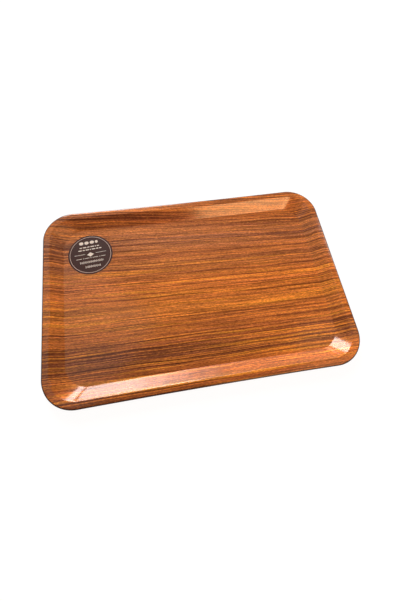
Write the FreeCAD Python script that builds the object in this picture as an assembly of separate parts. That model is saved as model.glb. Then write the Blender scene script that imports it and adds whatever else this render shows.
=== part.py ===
"""Pressed wood-grain serving tray with a round retail label.

Millimetres, +Z up. The origin is the centre of the underside, where the tray rests.
+X runs along the tray and +Y across it, towards the labelled long side.

The tray is one curved sandwich. A stack of flat sheets is glued and pressed between two dies,
and then trimmed to the outline. Every sheet therefore lies between two glue lines of the same
dished shape, each a little deeper than the last. pressed_form makes the body under one glue
line, and a sheet is the difference between two such bodies.
"""

import FreeCAD
import Part
import math
import os

# Outline of the trimmed edge
TRAY_LENGTH = 360.0
TRAY_WIDTH = 240.0
EDGE_CORNER_RADIUS = 36.0
LONG_SIDE_BOW = 1.0           # how far the middle of a long side lies inside its ends

# Dished section, measured on the top face
RIM_WIDTH = 8.2
WALL_RUN = 14.2               # how far the sloping wall reaches inwards
SERVING_DEPTH = 9.6           # from the rim down to the floor
WALL_TOP_CORNER_RADIUS = 29.0
FLOOR_CORNER_RADIUS = 26.0
RIM_BEND_RADIUS = 3.6         # convex bend between rim and wall
FLOOR_BEND_RADIUS = 1.4       # concave bend between wall and floor
EDGE_ROUNDING = 1.4           # sanded rounding of the trimmed edge, above and below

# Sheets of the sandwich, from the top down
DECOR_THICKNESS = 0.25
VENEER_THICKNESS = 0.5
VENEER_COUNT = 5
BACKING_THICKNESS = 0.25
BOARD_THICKNESS = DECOR_THICKNESS + VENEER_COUNT * VENEER_THICKNESS + BACKING_THICKNESS

# Paper label on the floor
LABEL_DIAMETER = 55.0
LABEL_THICKNESS = 0.12
LABEL_X = -124.6
LABEL_Y = 62.3

# Derived levels and angles
FLOOR_LEVEL = BOARD_THICKNESS
RIM_LEVEL = FLOOR_LEVEL + SERVING_DEPTH
WALL_ANGLE = math.atan2(SERVING_DEPTH, WALL_RUN)
TOOL_BASE = -10.0             # flat bottom of the working bodies, below every sheet
EDGE_BLOCK_INSET = 4.0        # the rounding tool covers the strip outside this inset
LEVEL_TOLERANCE = 1e-4        # an edge this near to a level lies on it


def point(x, y, z):
    """Return a vector."""
    return FreeCAD.Vector(x, y, z)


def outline(inset, corner_radius, z):
    """Return a closed rounded rectangle whose long sides bow gently inwards.

    The bow is a circle outside the tray that touches the two corner circles, so the outline
    has no kink. All four quarters are mirror images of the first one.
    """
    half_length = TRAY_LENGTH / 2 - inset
    half_width = TRAY_WIDTH / 2 - inset
    corner_x = half_length - corner_radius
    corner_y = half_width - corner_radius
    bow_radius = (corner_x ** 2 - LONG_SIDE_BOW ** 2) / (2 * LONG_SIDE_BOW) + corner_radius
    lean = math.asin(corner_x / (bow_radius + corner_radius))
    waist_y = corner_y + (bow_radius + corner_radius) * math.cos(lean) - bow_radius

    joint_x = corner_x - corner_radius * math.sin(lean)
    joint_y = corner_y + corner_radius * math.cos(lean)
    middle = (math.pi / 2 + lean) / 2
    middle_x = corner_x + corner_radius * math.cos(middle)
    middle_y = corner_y + corner_radius * math.sin(middle)

    def corner(side_x, side_y):
        """Return the corner arc on one side of each axis, from short side to long side."""
        return Part.Arc(
            point(side_x * half_length, side_y * corner_y, z),
            point(side_x * middle_x, side_y * middle_y, z),
            point(side_x * joint_x, side_y * joint_y, z),
        )

    def long_side(side_y):
        """Return one bowed long side."""
        return Part.Arc(
            point(joint_x, side_y * joint_y, z),
            point(0, side_y * waist_y, z),
            point(-joint_x, side_y * joint_y, z),
        )

    def short_side(side_x):
        """Return one straight short side."""
        return Part.LineSegment(
            point(side_x * half_length, corner_y, z),
            point(side_x * half_length, -corner_y, z),
        )

    curves = [
        corner(1, 1), long_side(1), corner(-1, 1), short_side(-1),
        corner(-1, -1), long_side(-1), corner(1, -1), short_side(1),
    ]
    return Part.Wire(Part.__sortEdges__([curve.toShape() for curve in curves]))


def slab(inset, corner_radius, bottom, top):
    """Return a flat slab of the outline between two levels."""
    face = Part.Face(outline(inset, corner_radius, bottom))
    return face.extrude(point(0, 0, top - bottom))


def edges_at_level(shape, z, inset):
    """Return the edges that lie flat at one level, further in than an inset from the outline."""
    found = []
    for edge in shape.Edges:
        box = edge.BoundBox
        flat = abs(box.ZMin - z) < LEVEL_TOLERANCE and abs(box.ZMax - z) < LEVEL_TOLERANCE
        inside_x = max(-box.XMin, box.XMax) < TRAY_LENGTH / 2 - inset
        inside_y = max(-box.YMin, box.YMax) < TRAY_WIDTH / 2 - inset
        if flat and inside_x and inside_y:
            found.append(edge)
    return found


def pressed_form(depth):
    """Return the body under the glue line that lies this deep below the top face.

    Both bends of the section move outwards with depth, so that the slanting wall keeps its
    thickness. The convex bend gets tighter with depth and the concave one gets wider.
    """
    shift = depth * math.tan(WALL_ANGLE / 2)
    rim = RIM_LEVEL - depth
    floor = FLOOR_LEVEL - depth
    wall_top = outline(RIM_WIDTH - shift, WALL_TOP_CORNER_RADIUS + shift, rim)
    wall_foot = outline(RIM_WIDTH + WALL_RUN - shift, FLOOR_CORNER_RADIUS + shift, floor)
    recess = Part.makeLoft([wall_foot, wall_top], True, True)
    body = slab(0, EDGE_CORNER_RADIUS, TOOL_BASE, rim).cut(recess)

    foot_edges = edges_at_level(body, floor, RIM_WIDTH)
    body = body.makeFillet(FLOOR_BEND_RADIUS + depth, foot_edges)
    top_edges = edges_at_level(body, rim, RIM_WIDTH / 2)
    return body.makeFillet(RIM_BEND_RADIUS - depth, top_edges)


def rounded_edge_envelope():
    """Return the body that every sheet must stay inside, with the trimmed edge rounded."""
    strip = slab(0, EDGE_CORNER_RADIUS, RIM_LEVEL - BOARD_THICKNESS, RIM_LEVEL)
    outer_edges = [edge for edge in strip.Edges if edge.BoundBox.ZLength < LEVEL_TOLERANCE]
    strip = strip.makeFillet(EDGE_ROUNDING, outer_edges)
    inner_corner_radius = EDGE_CORNER_RADIUS - EDGE_BLOCK_INSET
    block = slab(EDGE_BLOCK_INSET, inner_corner_radius, TOOL_BASE, RIM_LEVEL)
    return strip.fuse(block)


def sheet_list():
    """Return the name and thickness of every sheet, from the top down."""
    sheets = [("top_decor_sheet", DECOR_THICKNESS)]
    for number in range(1, VENEER_COUNT + 1):
        sheets.append((f"core_veneer_{number}", VENEER_THICKNESS))
    sheets.append(("bottom_backing_sheet", BACKING_THICKNESS))
    return sheets


def make_sheets():
    """Return every sheet of the sandwich by name."""
    envelope = rounded_edge_envelope()
    sheets = {}
    depth = 0.0
    above = pressed_form(depth)
    for name, thickness in sheet_list():
        depth += thickness
        below = pressed_form(depth)
        sheets[name] = above.cut(below).common(envelope)
        above = below
    return sheets


def make_label():
    """Return the round paper label, stuck flat to the floor."""
    centre = point(LABEL_X, LABEL_Y, FLOOR_LEVEL)
    return Part.makeCylinder(LABEL_DIAMETER / 2, LABEL_THICKNESS, centre)


def main():
    """Build every piece and write one file for each."""
    os.makedirs("parts", exist_ok=True)
    pieces = make_sheets()
    pieces["retail_label"] = make_label()
    for name, shape in pieces.items():
        shape.exportStep(f"parts/{name}.step")
        print(name, shape.ShapeType, len(shape.Solids), shape.isValid(), round(shape.Volume, 1))


main()
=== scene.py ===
# Looks of the pressed wood-grain serving tray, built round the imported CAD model.
# Metres, +Z up, in the frame of the CAD model: origin under the tray, +X along it, +Y to the back.

import math

import bpy
from mathutils import Matrix, Vector


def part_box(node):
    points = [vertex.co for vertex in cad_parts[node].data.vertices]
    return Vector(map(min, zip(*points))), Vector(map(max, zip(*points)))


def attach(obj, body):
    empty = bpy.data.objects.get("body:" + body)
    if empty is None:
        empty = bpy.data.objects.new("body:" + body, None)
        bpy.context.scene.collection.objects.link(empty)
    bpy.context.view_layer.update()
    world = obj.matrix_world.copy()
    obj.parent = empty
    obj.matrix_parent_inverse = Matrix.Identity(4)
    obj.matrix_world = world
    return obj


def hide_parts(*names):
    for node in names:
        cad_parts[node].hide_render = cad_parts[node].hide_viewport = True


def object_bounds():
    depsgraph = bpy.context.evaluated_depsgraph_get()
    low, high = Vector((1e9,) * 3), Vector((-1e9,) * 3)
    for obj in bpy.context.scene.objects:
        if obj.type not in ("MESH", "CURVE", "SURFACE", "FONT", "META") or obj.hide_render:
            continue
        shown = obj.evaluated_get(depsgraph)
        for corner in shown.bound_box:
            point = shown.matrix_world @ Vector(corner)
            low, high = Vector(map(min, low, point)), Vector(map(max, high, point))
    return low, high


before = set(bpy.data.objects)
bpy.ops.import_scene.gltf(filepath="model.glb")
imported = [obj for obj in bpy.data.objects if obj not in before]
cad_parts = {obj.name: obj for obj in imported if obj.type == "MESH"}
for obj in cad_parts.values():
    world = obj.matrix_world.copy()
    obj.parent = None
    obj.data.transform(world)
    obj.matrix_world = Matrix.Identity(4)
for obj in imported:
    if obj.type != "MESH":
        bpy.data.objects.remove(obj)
cad_low, cad_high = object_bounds()

MM = 0.001

# Section of the pressed shape. The outline, the levels and the sheets come from the frame.
HALF_LENGTH = (cad_high.x - cad_low.x) / 2
HALF_WIDTH = (cad_high.y - cad_low.y) / 2
RIM_LEVEL = cad_high.z
FLOOR_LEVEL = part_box("retail_label")[0].z
SERVING_DEPTH = RIM_LEVEL - FLOOR_LEVEL
EDGE_CORNER_RADIUS = 36 * MM
LONG_SIDE_BOW = 1.0 * MM
RIM_WIDTH = 8.2 * MM
WALL_RUN = 14.2 * MM
WALL_TOP_CORNER_RADIUS = 29 * MM
FLOOR_CORNER_RADIUS = 26 * MM
RIM_BEND_RADIUS = 3.6 * MM
FLOOR_BEND_RADIUS = 1.4 * MM
EDGE_ROUNDING = 1.4 * MM
WALL_ANGLE = math.atan2(SERVING_DEPTH, WALL_RUN)

# How finely the sheets are meshed, round the tray and along its section
SHORT_SIDE_STEPS = 8
CORNER_STEPS = 28
LONG_SIDE_STEPS = 14
BEND_STEPS = 7
WALL_STEPS = 4
RIM_STEPS = 4
EDGE_STEPS = 5
FLOOR_RING_INSETS = (6 * MM, 20 * MM, 45 * MM, 75 * MM)
FLOOR_RING_RADIUS = 15 * MM
SHARP_ANGLE = math.radians(30)           # creases sharper than this are not smoothed over

SHEETS = ["top_decor_sheet"]
SHEETS += [f"core_veneer_{number}" for number in range(1, 6)]
SHEETS += ["bottom_backing_sheet"]


# ---------------------------------------------------------------- camera

CAMERA_PLACE = (-0.0480, -0.1638, 0.4278)
CAMERA_TURN = (25.92, -3.51, -9.54)      # degrees about X, Y and Z
CAMERA_LENS = 22.16                      # mm, for a 36 mm long side
CAMERA_SHIFT_Y = -0.0677


def make_camera():
    """Make the camera that looks down at the tray from the front left."""
    data = bpy.data.cameras.new("camera")
    camera = bpy.data.objects.new("camera", data)
    bpy.context.scene.collection.objects.link(camera)
    data.sensor_width = 36.0
    data.lens = CAMERA_LENS
    data.shift_y = CAMERA_SHIFT_Y
    data.clip_start = 0.01
    data.clip_end = 50.0
    camera.location = CAMERA_PLACE
    camera.rotation_euler = [math.radians(turn) for turn in CAMERA_TURN]
    bpy.context.scene.camera = camera


# ---------------------------------------------------------------- pressed sheets

def outline(inset, corner_radius):
    """Return the ring of one rounded rectangle, anticlockwise, as (point, outward normal) pairs.

    The long sides bow inwards on a large circle that touches the corner circles.
    """
    half_length = HALF_LENGTH - inset
    corner_x = half_length - corner_radius
    corner_y = HALF_WIDTH - inset - corner_radius
    bow_radius = (corner_x ** 2 - LONG_SIDE_BOW ** 2) / (2 * LONG_SIDE_BOW) + corner_radius
    lean = math.asin(corner_x / (bow_radius + corner_radius))
    bow_centre_y = corner_y + (bow_radius + corner_radius) * math.cos(lean)

    quarter = []
    for step in range(SHORT_SIDE_STEPS):
        quarter.append((half_length, corner_y * step / SHORT_SIDE_STEPS, 1.0, 0.0))
    for step in range(CORNER_STEPS):
        angle = (math.pi / 2 + lean) * step / CORNER_STEPS
        across, along = math.cos(angle), math.sin(angle)
        quarter.append((corner_x + corner_radius * across, corner_y + corner_radius * along, across, along))
    for step in range(LONG_SIDE_STEPS + 1):
        angle = lean * (1 - step / LONG_SIDE_STEPS)
        across, along = math.sin(angle), math.cos(angle)
        quarter.append((bow_radius * across, bow_centre_y - bow_radius * along, -across, along))

    forward, backward = quarter[:-1], quarter[:0:-1]
    quarters = ((forward, 1, 1), (backward, -1, 1), (forward, -1, -1), (backward, 1, -1))
    ring = []
    for stretch, side_x, side_y in quarters:
        for x, y, across, along in stretch:
            ring.append((Vector((side_x * x, side_y * y)), Vector((side_x * across, side_y * along))))
    return ring


def edge_inset(z):
    """Return how far the rounded, trimmed edge lies inside the outline at a level."""
    rim_underside = RIM_LEVEL - FLOOR_LEVEL
    above = z - (RIM_LEVEL - EDGE_ROUNDING)
    below = (rim_underside + EDGE_ROUNDING) - z
    reach = min(max(above, below, 0.0), EDGE_ROUNDING)
    return EDGE_ROUNDING - math.sqrt(EDGE_ROUNDING ** 2 - reach ** 2)


def edge_ring(z):
    """Return the ring of the trimmed edge at a level."""
    inset = edge_inset(z)
    return [Vector((*point, z)) for point, _ in outline(inset, EDGE_CORNER_RADIUS - inset)]


def glue_line(depth):
    """Return the rings of the dished surface this deep below the top face, from the middle out."""
    shift = depth * math.tan(WALL_ANGLE / 2)
    rim_z = RIM_LEVEL - depth
    floor_z = FLOOR_LEVEL - depth
    foot = outline(RIM_WIDTH + WALL_RUN - shift, FLOOR_CORNER_RADIUS + shift)
    brow = outline(RIM_WIDTH - shift, WALL_TOP_CORNER_RADIUS + shift)
    foot_radius = FLOOR_BEND_RADIUS + depth
    brow_radius = RIM_BEND_RADIUS - depth

    rings = []
    for inset in reversed(FLOOR_RING_INSETS):
        share = inset / FLOOR_RING_INSETS[-1]
        radius = FLOOR_CORNER_RADIUS + (FLOOR_RING_RADIUS - FLOOR_CORNER_RADIUS) * share
        ring = outline(RIM_WIDTH + WALL_RUN + inset, radius)
        rings.append([Vector((*point, floor_z)) for point, _ in ring])

    lower, upper = [], []
    for (foot_point, normal), (brow_point, _) in zip(foot, brow):
        run = (brow_point - foot_point).dot(normal)
        slope = math.atan2(SERVING_DEPTH, run)
        foot_reach = foot_radius * math.tan(slope / 2)
        brow_reach = brow_radius * math.tan(slope / 2)
        rise, fall = [], []
        for step in range(BEND_STEPS + 1):
            angle = slope * step / BEND_STEPS
            flat, up = math.sin(angle), 1 - math.cos(angle)
            low_point = foot_point + normal * (foot_radius * flat - foot_reach)
            high_point = brow_point + normal * (brow_reach - brow_radius * flat)
            rise.append(Vector((*low_point, floor_z + foot_radius * up)))
            fall.append(Vector((*high_point, rim_z - brow_radius * up)))
        lower.append(rise)
        upper.append(fall[::-1])
    for step in range(BEND_STEPS + 1):
        rings.append([rise[step] for rise in lower])
    for step in range(1, WALL_STEPS):
        rings.append([rise[-1].lerp(fall[0], step / WALL_STEPS) for rise, fall in zip(lower, upper)])
    for step in range(BEND_STEPS + 1):
        rings.append([fall[step] for fall in upper])

    inner, outer = rings[-1], edge_ring(rim_z)
    for step in range(1, RIM_STEPS + 1):
        rings.append([start.lerp(end, step / RIM_STEPS) for start, end in zip(inner, outer)])
    return rings


def add_mesh(name, vertices, faces, material):
    """Make an object from vertices and faces, with one material."""
    mesh = bpy.data.meshes.new(name)
    mesh.from_pydata([tuple(vertex) for vertex in vertices], [], faces)
    mesh.materials.append(material)
    mesh.validate()
    mesh.update()
    obj = bpy.data.objects.new(name, mesh)
    bpy.context.scene.collection.objects.link(obj)
    return obj


def loft_rings(name, rings, material):
    """Make one closed solid that runs through a list of rings and is capped at both ends."""
    count = len(rings[0])
    vertices = [point for ring in rings for point in ring]
    faces = [tuple(range(count))]
    for row in range(len(rings) - 1):
        for column in range(count):
            start, end = row * count + column, row * count + (column + 1) % count
            faces.append((start, start + count, end + count, end))
    last = (len(rings) - 1) * count
    faces.append(tuple(reversed(range(last, last + count))))
    obj = add_mesh(name, vertices, faces, material)
    obj.data.polygons.foreach_set("use_smooth", [True] * len(obj.data.polygons))
    obj.data.set_sharp_from_angle(angle=SHARP_ANGLE)
    return obj


def make_sheet(node, top, bottom, material):
    """Make one sheet of the sandwich between two glue lines, given as depths."""
    top_z, bottom_z = RIM_LEVEL - top, RIM_LEVEL - bottom
    edge = []
    for step in range(1, EDGE_STEPS):
        edge.append(edge_ring(top_z + (bottom_z - top_z) * step / EDGE_STEPS))
    sheet = loft_rings(f"{node}_surface", glue_line(top) + edge + glue_line(bottom)[::-1], material)
    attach(sheet, "root")
    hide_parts(node)


# ---------------------------------------------------------------- materials

NOISE_LOW, NOISE_HIGH = 0.3, 0.7       # most noise values lie between these

# Grain: how far it moves forward per mm to the right, at the back edge
TOP_DRIFT = 0.075
BOTTOM_DRIFT = 0.03
DRIFT_FADE = 0.004            # share of the drift that is lost per mm towards the front
STAGGER = 9.0                 # how far grit, pores and flecks slip along the grain, in mm

# Screen colours of the print's details
GOLDEN_STREAK = (226, 150, 46)
MAUVE_STREAK = (146, 86, 62)
DARK_LINE = (98, 46, 20)
BRIGHT_LINE = (236, 140, 48)
PORE = (82, 38, 18)
FLECK = (244, 158, 60)
EDGE_STAIN = (50, 25, 15)

# Where the print and the painted light falloff change, in mm of grain from the back edge
GOLDEN_RISE = (70.0, 110.0)   # golden streaks grow and mauve ones fade
CALM_START = (210.0, 219.0)   # dark lines are weaker over the front wall
CALM_END = (230.0, 235.0)
PAINTED_FALLOFF_RISE = (205.0, 236.0)    # painted light falloff, darker to the left and lighter to the right, grows stronger over the front wall and rim than on the floor

# Edge stain: how far inside the outline it starts, where it is full, and how far it wanders
STAIN_REACH = 1.4 * MM
STAIN_FULL = 0.8 * MM
STAIN_WANDER = 0.4 * MM

# Broad tones from the back edge to the front, as (mm from the back edge, screen colour)
TOP_TONES = (
    (2, (184, 108, 58)),
    (9, (208, 122, 64)),
    (20, (162, 90, 50)),
    (36, (180, 110, 64)),
    (46, (158, 99, 67)),
    (54, (144, 92, 65)),
    (64, (180, 109, 66)),
    (76, (190, 112, 60)),
    (84, (164, 100, 58)),
    (96, (190, 111, 56)),
    (112, (204, 117, 54)),
    (127, (206, 117, 52)),
    (146, (212, 128, 52)),
    (158, (186, 107, 50)),
    (172, (176, 101, 48)),
    (184, (158, 89, 46)),
    (197, (130, 75, 42)),
    (208, (156, 89, 46)),
    (224, (190, 100, 36)),
    (236, (158, 86, 42)),
)
BOTTOM_TONES = (
    (10, (150, 84, 46)),
    (60, (168, 96, 54)),
    (110, (150, 86, 50)),
    (160, (164, 92, 50)),
    (230, (146, 80, 44)),
)
TONE_SPAN = 240.0             # mm that the colour ramp covers


class Recipe:
    """A new material whose nodes are added and joined by short calls."""

    def __init__(self, name):
        self.material = bpy.data.materials.new(name)
        self.material.use_nodes = True
        self.tree = self.material.node_tree
        self.tree.nodes.clear()

    def add(self, kind, inputs=None, **settings):
        """Add a node. An input is a number, a colour, a vector or another node's socket."""
        node = self.tree.nodes.new(kind)
        for key, value in settings.items():
            setattr(node, key, value)
        for key, value in (inputs or {}).items():
            if isinstance(value, bpy.types.NodeSocket):
                self.tree.links.new(value, node.inputs[key])
            else:
                node.inputs[key].default_value = value
        return node

    def math(self, operation, first, second=0.0, third=0.0):
        """Return the result of a calculation on up to three values."""
        return self.add("ShaderNodeMath", {0: first, 1: second, 2: third}, operation=operation).outputs[0]

    def combine(self, x, y, z=0.0):
        """Return a vector made of three values."""
        return self.add("ShaderNodeCombineXYZ", {0: x, 1: y, 2: z}).outputs[0]

    def scaled(self, vector, across, up=None):
        """Return a vector scaled in X and Y by one number, and in Z by another or the same."""
        scale = (across, across, across if up is None else up)
        return self.add("ShaderNodeMapping", {"Vector": vector, "Scale": scale}).outputs[0]

    def noise(self, vector, detail=2.0, roughness=0.5):
        """Return a noise value from 0 to 1 whose features are about one unit wide."""
        inputs = {"Vector": vector, "Scale": 1.0, "Detail": detail, "Roughness": roughness}
        return self.add("ShaderNodeTexNoise", inputs).outputs[0]

    def ramp(self, value, stops):
        """Return a colour from (position, colour) stops."""
        node = self.add("ShaderNodeValToRGB", {"Fac": value})
        elements = node.color_ramp.elements
        while len(elements) < len(stops):
            elements.new(0.5)
        for element, (position, colour) in zip(elements, stops):
            element.position = position
            element.color = colour
        return node.outputs["Color"]

    def level(self, value, low, high, floor=0.0, top=1.0):
        """Return a value stretched from low..high to floor..top, smoothly."""
        inputs = {"Value": value, "From Min": low, "From Max": high, "To Min": floor, "To Max": top}
        return self.add("ShaderNodeMapRange", inputs, interpolation_type="SMOOTHSTEP").outputs[0]

    def mix(self, factor, first, second, blend="MIX"):
        """Return a blend of two colours."""
        node = self.add("ShaderNodeMix", data_type="RGBA", blend_type=blend)
        for key, value in ((0, factor), (6, first), (7, second)):
            if isinstance(value, bpy.types.NodeSocket):
                self.tree.links.new(value, node.inputs[key])
            else:
                node.inputs[key].default_value = value
        return node.outputs[2]

    def finish(self, inputs):
        """Join the surface shader and return the material."""
        shader = self.add("ShaderNodeBsdfPrincipled", inputs)
        output = self.add("ShaderNodeOutputMaterial")
        self.tree.links.new(shader.outputs[0], output.inputs["Surface"])
        return self.material


def screen_colour(red, green, blue):
    """Return a linear colour from screen values of 0 to 255."""
    linear = []
    for value in (red, green, blue):
        share = value / 255
        linear.append(share / 12.92 if share <= 0.04045 else ((share + 0.055) / 1.055) ** 2.4)
    return (*linear, 1.0)


def wave(recipe, x, grain, length, width, height, layer, detail):
    """Return a smooth wander of the grain, by up to half the height to either side, in mm."""
    along = recipe.math("DIVIDE", x, length)
    across = recipe.math("DIVIDE", grain, width)
    wander = recipe.noise(recipe.combine(along, across, layer), detail)
    return recipe.math("MULTIPLY", recipe.math("SUBTRACT", wander, 0.5), height)


def grain_position(recipe, drift):
    """Return X along the tray and the grain's own distance from the back edge, both in mm.

    The grain runs along the tray. It drifts towards the front as it goes right, most at the
    back, and wanders a little.
    """
    place = recipe.add("ShaderNodeTexCoord").outputs["Object"]
    parts = recipe.add("ShaderNodeSeparateXYZ", {0: place})
    x = recipe.math("MULTIPLY", parts.outputs[0], 1 / MM)
    y = recipe.math("MULTIPLY", parts.outputs[1], 1 / MM)
    from_back = recipe.math("SUBTRACT", HALF_WIDTH / MM, y)
    fade = recipe.math("MULTIPLY", from_back, -DRIFT_FADE)
    lean = recipe.math("MULTIPLY", recipe.math("ADD", fade, 1.0), drift)
    straight = recipe.math("SUBTRACT", from_back, recipe.math("MULTIPLY", lean, x))
    slow = wave(recipe, x, straight, length=110.0, width=38.0, height=5.0, layer=0.0, detail=1.0)
    quick = wave(recipe, x, straight, length=34.0, width=12.0, height=1.0, layer=3.7, detail=2.0)
    return x, recipe.math("ADD", straight, recipe.math("ADD", slow, quick))


def streak(recipe, x, grain, length, width, layer, detail=2.0, roughness=0.55):
    """Return noise drawn out along the grain: features of about length by width, in mm."""
    along = recipe.math("DIVIDE", x, length)
    across = recipe.math("DIVIDE", grain, width)
    return recipe.noise(recipe.combine(along, across, layer), detail, roughness)


def print_and_painted_falloff(recipe, x, grain, stagger, contrast):
    """Return the print's brightness, round 1: a painted light falloff from side to side, clouds, fine
    streaks and grit.
    """

    def spread(value, amount):
        """Return a factor round 1 from a noise value."""
        return recipe.level(value, NOISE_LOW, NOISE_HIGH, 1 - amount * contrast, 1 + amount * contrast)

    # Painted light falloff: the colour is darker towards the left and lighter towards the right, more so at
    # the front
    painted_falloff = recipe.level(grain, *PAINTED_FALLOFF_RISE, 0.18, 0.34)
    side = recipe.math("DIVIDE", x, HALF_LENGTH / MM)
    along = recipe.math("ADD", recipe.math("MULTIPLY", side, painted_falloff), 1.0)
    cloud = spread(streak(recipe, x, grain, length=320, width=13, layer=1.3), 0.12)
    fine = spread(streak(recipe, x, grain, length=45, width=0.8, layer=9.4, roughness=0.6), 0.42)
    grit = spread(streak(recipe, stagger, grain, length=2.4, width=0.7, layer=27.7, detail=1.0), 0.32)
    broad = recipe.math("MULTIPLY", cloud, along)
    return recipe.math("MULTIPLY", broad, recipe.math("MULTIPLY", fine, grit))


def wood_colour(recipe, x, grain, tones, contrast):
    """Return the printed wood's colour with a painted side-to-side light falloff, its growth lines and its
    pores.

    Golden and mauve streaks, dark and bright lines, pores and flecks lie over the broad tones.
    """
    stops = [(distance / TONE_SPAN, screen_colour(*tone)) for distance, tone in tones]
    base = recipe.ramp(recipe.math("DIVIDE", grain, TONE_SPAN), stops)

    calm_in = recipe.level(grain, *CALM_START, 1.0, 0.4)
    calm_out = recipe.level(grain, *CALM_END, 0.4, 1.0)
    lines = streak(recipe, x, grain, length=320, width=1.3, layer=5.1, detail=1.0, roughness=0.5)
    dark_lines = recipe.level(lines, 0.51, 0.67, 0.0, 0.85 * contrast)
    dark_lines = recipe.math("MULTIPLY", dark_lines, recipe.math("MAXIMUM", calm_in, calm_out))
    bright_lines = recipe.level(lines, 0.48, 0.32, 0.0, 0.55 * contrast)

    shift = streak(recipe, x, grain, length=25, width=0.9, layer=33.1, detail=1.0)
    stagger = recipe.math("MULTIPLY_ADD", shift, STAGGER, x)
    pores = streak(recipe, stagger, grain, length=4.2, width=0.45, layer=14.2, detail=1.0)
    pores = recipe.level(pores, 0.58, 0.72, 0.0, 0.60 * contrast)
    flecks = streak(recipe, stagger, grain, length=4.6, width=0.55, layer=21.9, detail=1.0)
    flecks = recipe.level(flecks, 0.60, 0.74, 0.0, 0.45 * contrast)

    hue = streak(recipe, x, grain, length=150, width=3.2, layer=41.3)
    golden_share = recipe.level(grain, *GOLDEN_RISE, 0.15, 0.60)
    golden = recipe.math("MULTIPLY", recipe.level(hue, 0.50, 0.68, 0.0, contrast), golden_share)
    mauve_share = recipe.level(grain, *GOLDEN_RISE, 0.50, 0.30)
    mauve = recipe.math("MULTIPLY", recipe.level(hue, 0.48, 0.30, 0.0, contrast), mauve_share)

    colour = recipe.mix(golden, base, screen_colour(*GOLDEN_STREAK))
    colour = recipe.mix(mauve, colour, screen_colour(*MAUVE_STREAK))
    colour = recipe.mix(dark_lines, colour, screen_colour(*DARK_LINE))
    colour = recipe.mix(bright_lines, colour, screen_colour(*BRIGHT_LINE))
    colour = recipe.mix(pores, colour, screen_colour(*PORE))
    colour = recipe.mix(flecks, colour, screen_colour(*FLECK))
    # this shade carries the painted side-to-side light falloff as well as the print's clouds, streaks and
    # grit
    shade = print_and_painted_falloff(recipe, x, grain, stagger, contrast)
    return recipe.mix(1.0, colour, recipe.combine(shade, shade, shade), "MULTIPLY"), lines, pores


def stained_edge(recipe, colour):
    """Return the colour with the dark edge stain where it laps over the last millimetre of the face."""
    place = recipe.add("ShaderNodeTexCoord").outputs["Object"]
    parts = recipe.add("ShaderNodeSeparateXYZ", {0: place})
    across = recipe.math("ABSOLUTE", parts.outputs[0])
    corner_x = HALF_LENGTH - EDGE_CORNER_RADIUS
    share = recipe.math("MINIMUM", recipe.math("DIVIDE", across, corner_x), 1.0)
    bow_share = recipe.math("SUBTRACT", 1.0, recipe.math("POWER", share, 2.0))
    bow = recipe.math("MULTIPLY", bow_share, LONG_SIDE_BOW)
    deep = recipe.math("ADD", recipe.math("ABSOLUTE", parts.outputs[1]), bow)
    beyond_x = recipe.math("MAXIMUM", recipe.math("SUBTRACT", across, corner_x), 0.0)
    beyond_y = recipe.math("MAXIMUM", recipe.math("SUBTRACT", deep, HALF_WIDTH - EDGE_CORNER_RADIUS), 0.0)
    reach = recipe.add("ShaderNodeVectorMath", {0: recipe.combine(beyond_x, beyond_y)}, operation="LENGTH")
    wander = recipe.noise(recipe.scaled(place, 150.0))
    reach = recipe.math("MULTIPLY_ADD", wander, STAIN_WANDER, reach.outputs["Value"])
    stain = recipe.level(reach, EDGE_CORNER_RADIUS - STAIN_REACH, EDGE_CORNER_RADIUS - STAIN_FULL, 0.0, 0.9)
    return recipe.mix(stain, colour, screen_colour(*EDGE_STAIN))


def wood_face(recipe, drift, tones, contrast, satin, relief):
    """Return the colour, roughness and relief of a printed wood face, as shader inputs.

    satin is the lowest and highest roughness, and relief the strength of the bump.
    """
    x, grain = grain_position(recipe, drift)
    colour, lines, pores = wood_colour(recipe, x, grain, tones, contrast)
    polish = streak(recipe, x, grain, length=40, width=3.0, layer=30.5)
    height = recipe.math("SUBTRACT", recipe.math("MULTIPLY", lines, 0.3), pores)
    bump = recipe.add("ShaderNodeBump", {"Height": height, "Strength": relief, "Distance": 0.2 * MM})
    return {
        "Base Color": stained_edge(recipe, colour),
        "Roughness": recipe.level(polish, NOISE_LOW, NOISE_HIGH, *satin),
        "Normal": bump.outputs[0],
    }


def make_top_wood():
    """Make the glossy printed wood of the top face."""
    recipe = Recipe("top_wood_grain")
    face = wood_face(recipe, TOP_DRIFT, TOP_TONES, contrast=1.0, satin=(0.42, 0.54), relief=0.10)
    return recipe.finish({
        **face,
        "Metallic": 0.30,
        "Coat Weight": 1.0,
        "Coat Roughness": 0.12,
        "Coat IOR": 1.5,
        "IOR": 1.2,
    })


def make_bottom_wood():
    """Make the plainer satin wood of the underside."""
    recipe = Recipe("bottom_wood_grain")
    face = wood_face(recipe, BOTTOM_DRIFT, BOTTOM_TONES, contrast=0.8, satin=(0.38, 0.50), relief=0.12)
    return recipe.finish({**face, "IOR": 1.5})


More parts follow.
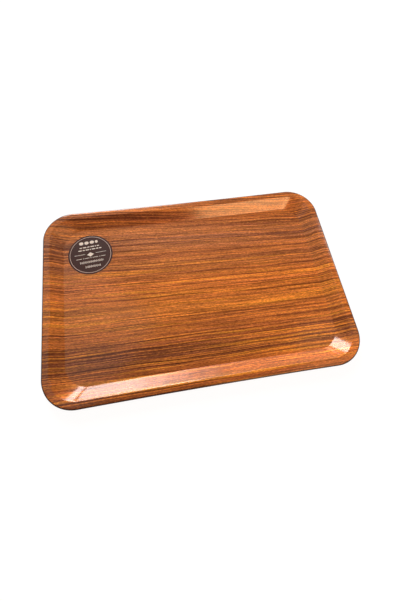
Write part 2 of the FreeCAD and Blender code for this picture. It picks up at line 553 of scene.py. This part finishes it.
def make_veneer(number):
    """Make the dark-stained, sealed edge of one veneer. The plies alternate in direction."""
    recipe = Recipe(f"veneer_edge_{number}")
    place = recipe.add("ShaderNodeTexCoord").outputs["Object"]
    lengthwise = number % 2 == 1
    fibre_length = 9.0 * MM if lengthwise else 1.2 * MM
    fibre_height = 0.25 * MM
    fibre_place = recipe.scaled(place, 1 / fibre_length, 1 / fibre_height)
    fibre = recipe.noise(fibre_place, detail=3.0, roughness=0.6)
    tone = screen_colour(78, 46, 30) if lengthwise else screen_colour(58, 34, 24)
    dark = recipe.level(fibre, NOISE_LOW, NOISE_HIGH, 0.0, 0.7)
    colour = recipe.mix(dark, tone, screen_colour(40, 23, 16))
    roughness = recipe.level(fibre, NOISE_LOW, NOISE_HIGH, 0.40, 0.62)
    bump = recipe.add("ShaderNodeBump", {"Height": fibre, "Strength": 0.3, "Distance": 0.1 * MM})
    return recipe.finish({
        "Base Color": colour,
        "Roughness": roughness,
        "Specular IOR Level": 0.25,
        "Normal": bump.outputs[0],
    })


def make_label_paper():
    """Make the dark brown printed paper of the label."""
    recipe = Recipe("label_paper")
    place = recipe.add("ShaderNodeTexCoord").outputs["Object"]
    speck = recipe.noise(recipe.scaled(place, 1800.0), detail=3.0, roughness=0.6)
    pale = recipe.level(speck, NOISE_LOW, NOISE_HIGH)
    colour = recipe.mix(pale, screen_colour(48, 25, 20), screen_colour(66, 36, 30))
    bump = recipe.add("ShaderNodeBump", {"Height": speck, "Strength": 0.15, "Distance": 0.05 * MM})
    roughness = recipe.level(speck, NOISE_LOW, NOISE_HIGH, 0.42, 0.55)
    return recipe.finish({
        "Base Color": colour,
        "Roughness": roughness,
        "Specular IOR Level": 0.25,
        "Normal": bump.outputs[0],
    })


def make_label_ink(name, dark, light):
    """Make one pale ink of the label from its darkest and lightest colours."""
    recipe = Recipe(name)
    place = recipe.add("ShaderNodeTexCoord").outputs["Object"]
    speck = recipe.noise(recipe.scaled(place, 2500.0), detail=2.0)
    pale = recipe.level(speck, NOISE_LOW, NOISE_HIGH)
    colour = recipe.mix(pale, screen_colour(*dark), screen_colour(*light))
    roughness = recipe.level(speck, NOISE_LOW, NOISE_HIGH, 0.45, 0.6)
    return recipe.finish({"Base Color": colour, "Roughness": roughness})


def make_floor_paint():
    """Make the plain pale floor under the tray."""
    recipe = Recipe("pale_floor")
    place = recipe.add("ShaderNodeTexCoord").outputs["Object"]
    soft = recipe.noise(place, detail=2.0)
    colour = recipe.mix(soft, (0.09, 0.09, 0.09, 1.0), (0.11, 0.11, 0.11, 1.0))
    return recipe.finish({
        "Base Color": colour,
        "Roughness": 0.8,
        "Specular IOR Level": 0.2,
        "Emission Color": (1.0, 1.0, 1.0, 1.0),
        "Emission Strength": 0.94,
    })


# ---------------------------------------------------------------- label

LABEL_LOW, LABEL_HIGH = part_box("retail_label")
LABEL_RADIUS = (LABEL_HIGH.x - LABEL_LOW.x) / 2
LABEL_CENTRE = (LABEL_LOW + LABEL_HIGH) / 2
LABEL_TOP = LABEL_HIGH.z
LABEL_TURN = math.radians(4)
LABEL_STEPS = 128
LABEL_INNER_RADIUS = LABEL_RADIUS / 3
LABEL_EDGE_ROUNDING = 0.05 * MM
RING_INNER_RADIUS = LABEL_RADIUS * 0.905
RING_OUTER_RADIUS = LABEL_RADIUS * 0.925
INK_HEIGHT = 0.02 * MM
BAR_END_STEPS = 6
STROKE_HEIGHTS = (3.6, 2.2, 3.0, 3.6, 2.6)      # mm, repeated along a row


def circle(radius, z):
    """Return a ring of points round the label's centre."""
    ring = []
    for step in range(LABEL_STEPS):
        angle = 2 * math.pi * step / LABEL_STEPS
        ring.append(Vector((
            LABEL_CENTRE.x + radius * math.cos(angle),
            LABEL_CENTRE.y + radius * math.sin(angle),
            z,
        )))
    return ring


def make_label_disc(material):
    """Make the paper disc with a softly rounded cut edge."""
    rounding = LABEL_EDGE_ROUNDING
    rings = [
        circle(LABEL_INNER_RADIUS, LABEL_TOP),
        circle(LABEL_RADIUS - rounding * 4, LABEL_TOP),
        circle(LABEL_RADIUS - rounding, LABEL_TOP),
        circle(LABEL_RADIUS - rounding * 0.3, LABEL_TOP - rounding * 0.3),
        circle(LABEL_RADIUS, LABEL_TOP - rounding),
        circle(LABEL_RADIUS, FLOOR_LEVEL),
        circle(LABEL_INNER_RADIUS, FLOOR_LEVEL),
    ]
    disc = loft_rings("label_disc", rings, material)
    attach(disc, "root")
    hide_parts("retail_label")


def make_label_ring(material, name, inner, outer):
    """Make one thin printed ring just proud of the paper."""
    top = LABEL_TOP + INK_HEIGHT
    rings = [circle(inner, LABEL_TOP), circle(inner, top), circle(outer, top), circle(outer, LABEL_TOP)]
    count = LABEL_STEPS
    faces = []
    for row in range(len(rings)):
        next_row = (row + 1) % len(rings)
        for column in range(count):
            next_column = (column + 1) % count
            start, end = row * count + column, row * count + next_column
            next_start, next_end = next_row * count + column, next_row * count + next_column
            faces.append((start, next_start, next_end, end))
    ring = add_mesh(name, [point for circle_points in rings for point in circle_points], faces, material)
    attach(ring, "root")


def bar(centre_x, centre_y, length, height):
    """Return the outline of one mark with rounded ends, in the label's own turned frame, in mm."""
    radius = min(length, height) / 2
    points = []
    for side in (1, -1):
        for step in range(BAR_END_STEPS + 1):
            angle = math.pi * (step / BAR_END_STEPS - 0.5)
            points.append((
                centre_x + side * (length / 2 - radius + radius * math.cos(angle)),
                centre_y + side * math.sin(angle) * height / 2,
            ))
    return points


def dash_row(y, start, end, dashes, height, gap=0.9):
    """Return a row of short bars that fills a stretch. dashes gives their relative lengths."""
    free = end - start - gap * (len(dashes) - 1)
    unit = free / sum(dashes)
    row, x = [], start
    for dash in dashes:
        row.append(bar(x + dash * unit / 2, y, dash * unit, height))
        x += dash * unit + gap
    return row


def stroke_row(y, start, end, strokes):
    """Return a row of thin upright strokes of a few heights that fills a stretch."""
    pitch = (end - start) / strokes
    row = []
    for step in range(strokes):
        height = STROKE_HEIGHTS[step % len(STROKE_HEIGHTS)]
        row.append(bar(start + (step + 0.5) * pitch, y, 0.5 * pitch, height))
    return row


def lozenge(width, height):
    """Return the plain four-cornered mark in the middle of the label."""
    return [(width / 2, 0), (0, height / 2), (-width / 2, 0), (0, -height / 2)]


def make_label_marks(material):
    """Make the generic marks: rows of plain dashes and strokes, two rules and a lozenge."""
    marks = []
    marks += dash_row(17.2, -12.5, 11.0, (3, 3, 3, 2), height=4.2, gap=1.2)
    marks += dash_row(11.0, -12.5, 12.0, (2, 3, 2, 3, 1, 2), height=1.3)
    marks += dash_row(7.2, -14.5, 14.5, (3, 2, 3, 1, 3, 2, 2), height=1.3)
    marks += dash_row(1.2, -19.5, -6.5, (1,), height=0.45)
    marks += dash_row(1.2, 6.5, 19.5, (1,), height=0.45)
    marks += dash_row(-4.6, -18.0, 18.0, (4, 1, 3, 1, 4, 1, 3), height=0.6, gap=1.0)
    marks += stroke_row(-10.2, -14.0, 15.0, strokes=22)
    marks += stroke_row(-16.8, -8.0, 11.0, strokes=14)
    marks.append(lozenge(width=8.5, height=6.0))

    turn = Matrix.Rotation(LABEL_TURN, 2)
    vertices, faces = [], []
    for mark in marks:
        count, first = len(mark), len(vertices)
        for z in (LABEL_TOP, LABEL_TOP + INK_HEIGHT):
            for point in mark:
                place = turn @ Vector(point) * MM
                vertices.append(Vector((LABEL_CENTRE.x + place.x, LABEL_CENTRE.y + place.y, z)))
        faces.append(tuple(range(first + count - 1, first - 1, -1)))
        faces.append(tuple(range(first + count, first + 2 * count)))
        for step in range(count):
            start, end = first + step, first + (step + 1) % count
            faces.append((start, end, end + count, start + count))
    obj = add_mesh("label_marks", vertices, faces, material)
    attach(obj, "root")


# ---------------------------------------------------------------- stage

FLOOR_REACH = 6.0
FLOOR_DROP = 0.2 * MM         # keeps the floor just clear of the tray's underside
HORIZON = (0.15, 1.0)         # sine of the elevation, and the brightness of the surroundings there
OVERHEAD = (0.60, 0.06)


def make_floor(material):
    """Make the floor that the tray lies on."""
    corners = [(x * FLOOR_REACH, y * FLOOR_REACH, 0) for x, y in ((-1, -1), (1, -1), (1, 1), (-1, 1))]
    floor = add_mesh("floor", corners, [(0, 1, 2, 3)], material)
    floor.location.z = -FLOOR_DROP


def direction(azimuth, elevation):
    """Return a unit vector. Azimuth 0 is towards the back, 90 towards the right."""
    turn, rise = math.radians(azimuth), math.radians(elevation)
    level = math.cos(rise)
    return Vector((math.sin(turn) * level, math.cos(turn) * level, math.sin(rise)))


def make_panel(name, azimuths, elevations, radiance, colour=(1, 1, 1), target=(0, 0, 0), distance=6.0):
    """Make a soft light panel that fills a range of directions, in degrees, seen from its target."""
    middle_azimuth, middle_elevation = sum(azimuths) / 2, sum(elevations) / 2
    half_turn = math.radians(azimuths[1] - azimuths[0]) / 2
    half_rise = math.radians(elevations[1] - elevations[0]) / 2
    towards = direction(middle_azimuth, middle_elevation)
    data = bpy.data.lights.new(name, "AREA")
    data.shape = "RECTANGLE"
    data.size = 2 * distance * math.cos(math.radians(middle_elevation)) * math.tan(half_turn)
    data.size_y = 2 * distance * math.tan(half_rise)
    data.energy = radiance * math.pi * data.size * data.size_y
    data.color = colour
    light = bpy.data.objects.new(name, data)
    bpy.context.scene.collection.objects.link(light)
    light.location = Vector(target) + towards * distance
    light.rotation_euler = towards.to_track_quat("Z", "Y").to_euler()
    light.visible_camera = False


def make_world():
    """Make the surroundings: bright near the horizon and dimmer overhead."""
    world = bpy.data.worlds.new("studio")
    bpy.context.scene.world = world
    world.use_nodes = True
    tree = world.node_tree
    tree.nodes.clear()
    place = tree.nodes.new("ShaderNodeTexCoord")
    parts = tree.nodes.new("ShaderNodeSeparateXYZ")
    ramp = tree.nodes.new("ShaderNodeValToRGB")
    background = tree.nodes.new("ShaderNodeBackground")
    output = tree.nodes.new("ShaderNodeOutputWorld")
    tree.links.new(place.outputs["Generated"], parts.inputs[0])
    tree.links.new(parts.outputs[2], ramp.inputs[0])
    tree.links.new(ramp.outputs["Color"], background.inputs["Color"])
    tree.links.new(background.outputs[0], output.inputs["Surface"])
    for element, (position, brightness) in zip(ramp.color_ramp.elements, (HORIZON, OVERHEAD)):
        element.position = position
        element.color = (brightness, brightness, brightness, 1.0)
    background.inputs["Strength"].default_value = 1.0


def make_lights():
    """Make the window at the back, three warm lamps, a faint glow and a thin bright strip."""
    # Each panel's azimuths, elevations and radiance
    make_panel("window", (-20, 6), (27, 50), 12.3)
    make_panel("window_sill", (-7, 6), (22, 27), 12.3)
    make_panel("window_side", (6, 15), (19, 29), 4.5)
    for number, (right_edge, radiance) in enumerate(((-5, 3.6), (-1, 2.8), (3, 2.3), (8, 1.4))):
        make_panel(f"window_foot_{number}", (-17, right_edge), (10, 18), radiance)

    wall_y = HALF_WIDTH - RIM_WIDTH - WALL_RUN / 2
    back_right = (0.55 * HALF_LENGTH, wall_y, RIM_LEVEL)
    back_left = (-0.86 * HALF_LENGTH, 0.8 * HALF_WIDTH, RIM_LEVEL)
    make_panel("warm_lamp", (140, 170), (48, 66), 8.0, (1.0, 0.58, 0.25), back_right, distance=3.0)
    make_panel("left_lamp", (80, 150), (46, 70), 1.3, (1.0, 0.64, 0.34), back_left, distance=3.0)
    make_panel("left_glow", (-75, -20), (55, 78), 0.5)
    make_panel("side_strip", (47, 63), (48.7, 51.3), 8.0)
    make_panel("warm_side", (23, 44), (16, 36), 3.2, (1.0, 0.52, 0.12))


def main():
    """Build the whole scene."""
    make_camera()
    materials = {"top_decor_sheet": make_top_wood(), "bottom_backing_sheet": make_bottom_wood()}
    for number in range(1, 6):
        materials[f"core_veneer_{number}"] = make_veneer(number)
    depths = [max(FLOOR_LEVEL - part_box(node)[0].z, 0.0) for node in SHEETS]
    top = 0.0
    for node, bottom in zip(SHEETS, depths):
        make_sheet(node, top, bottom, materials[node])
        top = bottom

    make_label_disc(make_label_paper())
    ring_ink = make_label_ink("label_ring_ink", (186, 164, 156), (212, 190, 180))
    make_label_ring(ring_ink, "label_ring", RING_INNER_RADIUS, RING_OUTER_RADIUS)
    make_label_marks(make_label_ink("label_mark_ink", (206, 194, 186), (238, 230, 222)))

    make_floor(make_floor_paint())
    make_world()
    make_lights()
    bpy.context.scene.view_settings.view_transform = "Standard"


main()
